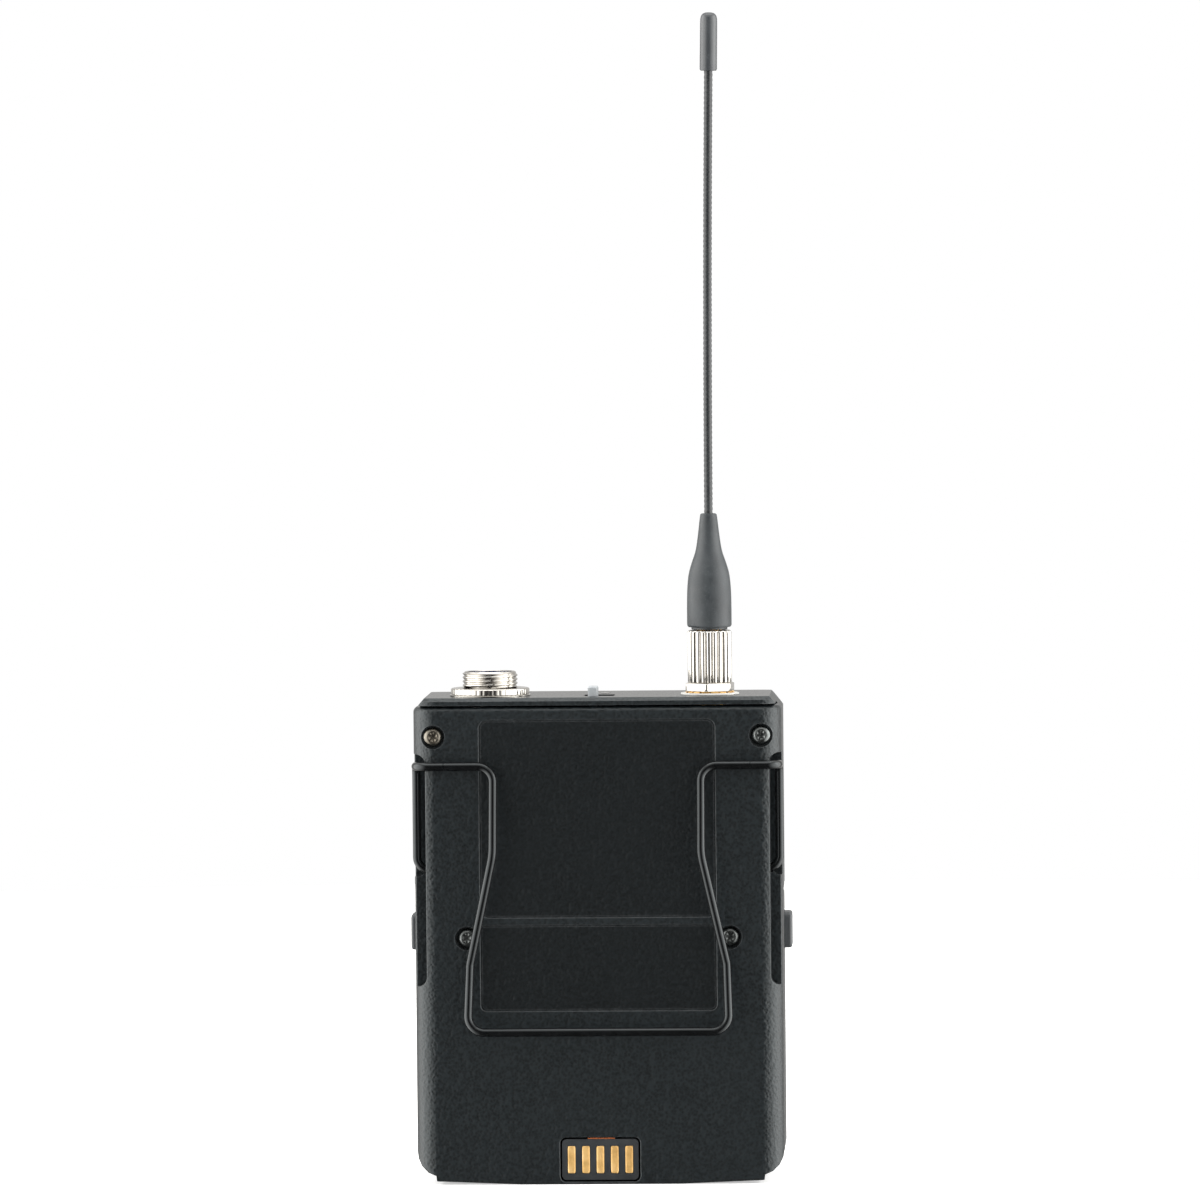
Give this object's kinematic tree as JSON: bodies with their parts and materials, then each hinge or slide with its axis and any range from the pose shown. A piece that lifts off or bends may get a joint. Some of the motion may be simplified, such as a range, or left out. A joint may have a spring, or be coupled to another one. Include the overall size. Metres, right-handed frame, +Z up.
{
  "type": "wireless microphone bodypack transmitter",
  "caption": "Upright pocket-size wireless microphone transmitter with whip antenna, wire belt clip, side-latched battery door and screw-on microphone connector.",
  "frame": {"origin": "centre of the bottom face that the case stands on", "axes": "+Z up along the antenna, -Y out of the front with the display and battery door, +Y out of the back with the belt clip, +X to the side of the microphone connector"},
  "size_m": [0.0678, 0.0286, 0.2063],
  "materials": {
    "body": "fine satin paint",
    "door": "fine satin paint",
    "screw_steel": "black zinc",
    "label_film": "matte blank film",
    "window": "smoked clear",
    "gasket": "matte foam rubber",
    "lcd": "polarised glass",
    "ir": "dark red clear",
    "key": "matte",
    "latch": "satin moulded",
    "switch_metal": "satin",
    "board": "solder mask",
    "connector": "moulded",
    "shield": "tinned",
    "chip": "moulded",
    "tray": "moulded",
    "battery": "plain printed sleeve, blank",
    "spring_steel": "nickel plated",
    "pin_steel": "ground",
    "nickel": "bright nickel",
    "insulator_blue": "moulded",
    "gold": "gold plated",
    "slider": "satin grey",
    "led_lens": "diffuse clear",
    "ptfe": "natural",
    "washer_white": "natural",
    "boot_rubber": "satin rubber",
    "whip": "ribbed sleeve",
    "tip": "gloss",
    "wire": "black semi-gloss coating",
    "flex": "polyimide film",
    "contact_block": "moulded"
  },
  "bodies": {
    "case": {"front_housing": "body", "rear_cover": "body", "rear_cover_screws": "screw_steel", "rating_label": "label_film", "info_label": "label_film", "door_hinge_pin": "pin_steel", "display_window": "window", "display_gasket": "gasket", "lcd_panel": "lcd", "ir_window": "ir", "key_switches": "connector", "control_board": "board", "main_board": "board", "board_link_connector": "connector", "rf_shield": "shield", "board_chips": "chip", "battery_tray": "tray", "battery_upper": "battery", "battery_lower": "battery", "battery_plates": "spring_steel", "battery_springs": "spring_steel", "mic_jack_shell": "nickel", "mic_jack_insulator": "insulator_blue", "mic_jack_pins": "gold", "mic_jack_washer": "nickel", "mic_jack_ring": "nickel", "power_switch_body": "switch_metal", "power_led_lens": "led_lens", "sma_jack": "gold", "sma_insulator": "ptfe", "sma_washer": "washer_white", "sma_lock_ring": "gold", "sma_hex_nut": "nickel", "contact_block": "contact_block", "charging_contacts": "gold", "contact_flex": "flex", "clip_arm_left": "wire", "clip_arm_right": "wire"},
    "battery_door": {"battery_door": "door"},
    "latch_left": {"latch_left": "latch"},
    "latch_right": {"latch_right": "latch"},
    "power_slider": {"power_slider": "slider"},
    "menu_key": {"menu_key": "key"},
    "scroll_key": {"scroll_key": "key"},
    "enter_key": {"enter_key": "key"},
    "clip_loop": {"clip_loop": "wire"},
    "antenna_nut": {"antenna_nut": "nickel"},
    "antenna": {"antenna_ferrule": "gold", "antenna_dielectric": "ptfe", "antenna_pin": "gold", "antenna_boot": "boot_rubber", "antenna_whip": "whip", "antenna_tip": "tip"}
  },
  "joints": [
    {"name": "door_hinge", "type": "hinge", "parent": "case", "child": "battery_door", "pos_m": [0, -0.0083, 0.0034], "axis": [1, 0, 0], "range_deg": [0, 90]},
    {"name": "latch_left_press", "type": "slide", "parent": "battery_door", "child": "latch_left", "axis": [-1, 0, 0], "range_m": [0, 0.001], "stiffness_N_per_m": 400},
    {"name": "latch_right_press", "type": "slide", "parent": "battery_door", "child": "latch_right", "axis": [1, 0, 0], "range_m": [0, 0.001], "stiffness_N_per_m": 400},
    {"name": "power_switch_slide", "type": "slide", "parent": "case", "child": "power_slider", "axis": [-1, 0, 0], "range_m": [0, 0.0025]},
    {"name": "menu_key_press", "type": "slide", "parent": "case", "child": "menu_key", "axis": [0, 1, 0], "range_m": [0, 0.0005], "stiffness_N_per_m": 500},
    {"name": "scroll_key_press", "type": "slide", "parent": "case", "child": "scroll_key", "axis": [0, 1, 0], "range_m": [0, 0.0005], "stiffness_N_per_m": 500},
    {"name": "enter_key_press", "type": "slide", "parent": "case", "child": "enter_key", "axis": [0, 1, 0], "range_m": [0, 0.0005], "stiffness_N_per_m": 500},
    {"name": "clip_flex", "type": "hinge", "parent": "case", "child": "clip_loop", "pos_m": [0, 0.0126, 0.074], "axis": [1, 0, 0], "range_deg": [0, 12], "stiffness_Nm_per_rad": 0.15},
    {"name": "antenna_lift", "type": "slide", "parent": "case", "child": "antenna", "axis": [0, 0, 1], "range_m": [0, 0.00353]},
    {"name": "antenna_nut_turn", "type": "hinge", "parent": "antenna", "child": "antenna_nut", "pos_m": [-0.0198, 0.0035, 0.092], "axis": [0, 0, 1], "range_deg": [0, 1800]}
  ],
  "couplings": [
    {"joint": "antenna_nut_turn", "follows": "antenna_lift", "rad_per_m": 8904.7}
  ]
}
